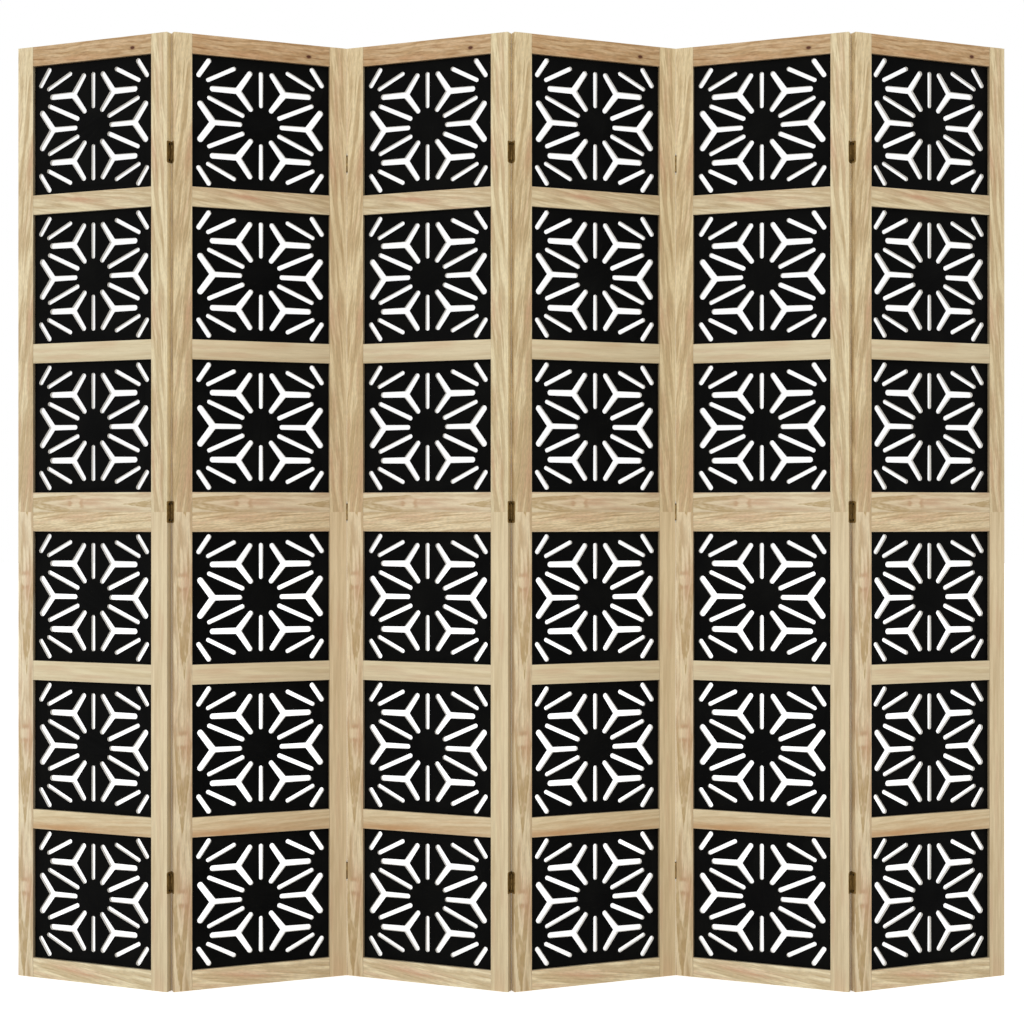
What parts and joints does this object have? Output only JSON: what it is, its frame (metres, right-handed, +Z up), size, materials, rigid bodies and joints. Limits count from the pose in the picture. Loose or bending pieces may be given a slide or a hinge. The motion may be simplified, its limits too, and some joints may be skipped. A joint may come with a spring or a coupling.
{
  "type": "folding screen",
  "caption": "Folding room screen of hinged pale wood frames that hold black panels carved through with a star lattice.",
  "frame": {"origin": "on the floor, at the middle of the standing zigzag's bounding box", "axes": "+X along the screen to the right as seen from the front, +Y from front to back, +Z up"},
  "size_m": [1.9156, 0.1476, 1.8],
  "materials": {
    "stile_wood": "oiled pale wood, upright grain",
    "rail_wood": "oiled pale wood, level grain",
    "panel_black": "flat black paint with pale cut edges",
    "dowel_wood": "plain beech",
    "hinge_bronze": "dark bronze plated"
  },
  "bodies": {
    "leaf_1": {"leaf_1_left_stiles": "stile_wood", "leaf_1_right_stiles": "stile_wood", "leaf_1_rails": "rail_wood", "leaf_1_lower_carved_panels": "panel_black", "leaf_1_upper_carved_panels": "panel_black", "leaf_1_dowels": "dowel_wood", "leaf_1_hinge_screws": "hinge_bronze", "hinge_1_left_plates": "hinge_bronze", "hinge_1_pins": "hinge_bronze"},
    "leaf_2": {"leaf_2_left_stiles": "stile_wood", "leaf_2_right_stiles": "stile_wood", "leaf_2_rails": "rail_wood", "leaf_2_lower_carved_panels": "panel_black", "leaf_2_upper_carved_panels": "panel_black", "leaf_2_dowels": "dowel_wood", "leaf_2_hinge_screws": "hinge_bronze", "hinge_1_right_plates": "hinge_bronze", "hinge_2_left_plates": "hinge_bronze", "hinge_2_pins": "hinge_bronze"},
    "leaf_3": {"leaf_3_left_stiles": "stile_wood", "leaf_3_right_stiles": "stile_wood", "leaf_3_rails": "rail_wood", "leaf_3_lower_carved_panels": "panel_black", "leaf_3_upper_carved_panels": "panel_black", "leaf_3_dowels": "dowel_wood", "leaf_3_hinge_screws": "hinge_bronze", "hinge_2_right_plates": "hinge_bronze", "hinge_3_left_plates": "hinge_bronze", "hinge_3_pins": "hinge_bronze"},
    "leaf_4": {"leaf_4_left_stiles": "stile_wood", "leaf_4_right_stiles": "stile_wood", "leaf_4_rails": "rail_wood", "leaf_4_lower_carved_panels": "panel_black", "leaf_4_upper_carved_panels": "panel_black", "leaf_4_dowels": "dowel_wood", "leaf_4_hinge_screws": "hinge_bronze", "hinge_3_right_plates": "hinge_bronze", "hinge_4_left_plates": "hinge_bronze", "hinge_4_pins": "hinge_bronze"},
    "leaf_5": {"leaf_5_left_stiles": "stile_wood", "leaf_5_right_stiles": "stile_wood", "leaf_5_rails": "rail_wood", "leaf_5_lower_carved_panels": "panel_black", "leaf_5_upper_carved_panels": "panel_black", "leaf_5_dowels": "dowel_wood", "leaf_5_hinge_screws": "hinge_bronze", "hinge_4_right_plates": "hinge_bronze", "hinge_5_left_plates": "hinge_bronze", "hinge_5_pins": "hinge_bronze"},
    "leaf_6": {"leaf_6_left_stiles": "stile_wood", "leaf_6_right_stiles": "stile_wood", "leaf_6_rails": "rail_wood", "leaf_6_lower_carved_panels": "panel_black", "leaf_6_upper_carved_panels": "panel_black", "leaf_6_dowels": "dowel_wood", "leaf_6_hinge_screws": "hinge_bronze", "hinge_5_right_plates": "hinge_bronze"}
  },
  "joints": [
    {"name": "fold_1", "type": "hinge", "parent": "leaf_2", "child": "leaf_1", "pos_m": [-0.63879, -0.05899, 0.9], "axis": [0, 0, -1], "range_deg": [-46, 134]},
    {"name": "fold_2", "type": "hinge", "parent": "leaf_3", "child": "leaf_2", "pos_m": [-0.31939, 0.05899, 0.9], "axis": [0, 0, 1], "range_deg": [-46, 134]},
    {"name": "fold_3", "type": "hinge", "parent": "leaf_3", "child": "leaf_4", "pos_m": [0, -0.05899, 0.9], "axis": [0, 0, 1], "range_deg": [-46, 134]},
    {"name": "fold_4", "type": "hinge", "parent": "leaf_4", "child": "leaf_5", "pos_m": [0.31939, 0.05899, 0.9], "axis": [0, 0, -1], "range_deg": [-46, 134]},
    {"name": "fold_5", "type": "hinge", "parent": "leaf_5", "child": "leaf_6", "pos_m": [0.63879, -0.05899, 0.9], "axis": [0, 0, 1], "range_deg": [-46, 134]}
  ]
}
